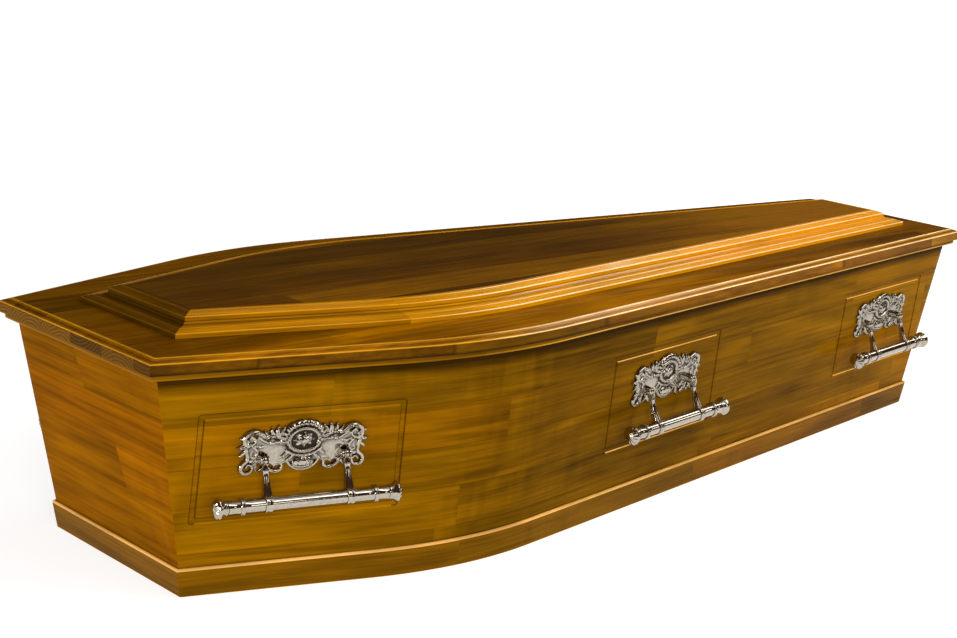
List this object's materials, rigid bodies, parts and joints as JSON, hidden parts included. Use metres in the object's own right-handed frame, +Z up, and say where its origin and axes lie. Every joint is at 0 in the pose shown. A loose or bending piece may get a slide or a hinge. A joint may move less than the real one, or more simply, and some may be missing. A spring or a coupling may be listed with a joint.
{
  "type": "coffin",
  "caption": "Shouldered wooden coffin: flared box with skirting, moulded lid with a raised stepped panel, and swinging metal bar handles along both sides.",
  "frame": {"origin": "middle of the lid's length on the centre line, at the underside", "axes": "+X from the head end to the foot end, +Y across to the far long side, +Z up"},
  "size_m": [2, 0.6846, 0.3999],
  "materials": {
    "stained_wood": "golden brown stain under gloss lacquer",
    "lid_wood": "dark golden brown stain under gloss lacquer",
    "plain_wood": "planed, unfinished",
    "silver_metal": "polished silver plating"
  },
  "bodies": {
    "coffin": {"side_near": "stained_wood", "side_far": "stained_wood", "head_board": "stained_wood", "foot_board": "stained_wood", "floor_board": "plain_wood", "skirting_near": "stained_wood", "skirting_far": "stained_wood", "skirting_head": "stained_wood", "skirting_foot": "stained_wood", "rim_near": "stained_wood", "rim_far": "stained_wood", "rim_head": "stained_wood", "rim_foot": "stained_wood", "lid_board": "lid_wood", "raised_moulding_near": "stained_wood", "raised_moulding_far": "stained_wood", "raised_moulding_head": "stained_wood", "raised_moulding_foot": "stained_wood", "top_panel": "lid_wood", "plate_near_head": "silver_metal", "plate_far_head": "silver_metal", "plate_near_middle": "silver_metal", "plate_far_middle": "silver_metal", "plate_near_foot": "silver_metal", "plate_far_foot": "silver_metal"},
    "handle_near_head": {"arm_a_near_head": "silver_metal", "arm_b_near_head": "silver_metal", "bar_near_head": "silver_metal", "knob_a_near_head": "silver_metal", "knob_b_near_head": "silver_metal"},
    "handle_far_head": {"arm_a_far_head": "silver_metal", "arm_b_far_head": "silver_metal", "bar_far_head": "silver_metal", "knob_a_far_head": "silver_metal", "knob_b_far_head": "silver_metal"},
    "handle_near_middle": {"arm_a_near_middle": "silver_metal", "arm_b_near_middle": "silver_metal", "bar_near_middle": "silver_metal", "knob_a_near_middle": "silver_metal", "knob_b_near_middle": "silver_metal"},
    "handle_far_middle": {"arm_a_far_middle": "silver_metal", "arm_b_far_middle": "silver_metal", "bar_far_middle": "silver_metal", "knob_a_far_middle": "silver_metal", "knob_b_far_middle": "silver_metal"},
    "handle_near_foot": {"arm_a_near_foot": "silver_metal", "arm_b_near_foot": "silver_metal", "bar_near_foot": "silver_metal", "knob_a_near_foot": "silver_metal", "knob_b_near_foot": "silver_metal"},
    "handle_far_foot": {"arm_a_far_foot": "silver_metal", "arm_b_far_foot": "silver_metal", "bar_far_foot": "silver_metal", "knob_a_far_foot": "silver_metal", "knob_b_far_foot": "silver_metal"}
  },
  "joints": [
    {"name": "near_head_hinge", "type": "hinge", "parent": "coffin", "child": "handle_near_head", "pos_m": [-0.76666, -0.25175, 0.20892], "axis": [-0.9548, 0.2974, 0], "range_deg": [0, 90]},
    {"name": "far_head_hinge", "type": "hinge", "parent": "coffin", "child": "handle_far_head", "pos_m": [-0.76666, 0.25175, 0.20892], "axis": [0.9548, 0.2974, 0], "range_deg": [0, 90]},
    {"name": "near_middle_hinge", "type": "hinge", "parent": "coffin", "child": "handle_near_middle", "pos_m": [-0.0096, -0.28704, 0.20913], "axis": [-0.9939, -0.1104, 0], "range_deg": [0, 90]},
    {"name": "far_middle_hinge", "type": "hinge", "parent": "coffin", "child": "handle_far_middle", "pos_m": [-0.0096, 0.28704, 0.20913], "axis": [0.9939, -0.1104, 0], "range_deg": [0, 90]},
    {"name": "near_foot_hinge", "type": "hinge", "parent": "coffin", "child": "handle_near_foot", "pos_m": [0.74337, -0.2032, 0.209], "axis": [-0.9939, -0.1104, 0], "range_deg": [0, 90]},
    {"name": "far_foot_hinge", "type": "hinge", "parent": "coffin", "child": "handle_far_foot", "pos_m": [0.74337, 0.2032, 0.209], "axis": [0.9939, -0.1104, 0], "range_deg": [0, 90]}
  ]
}
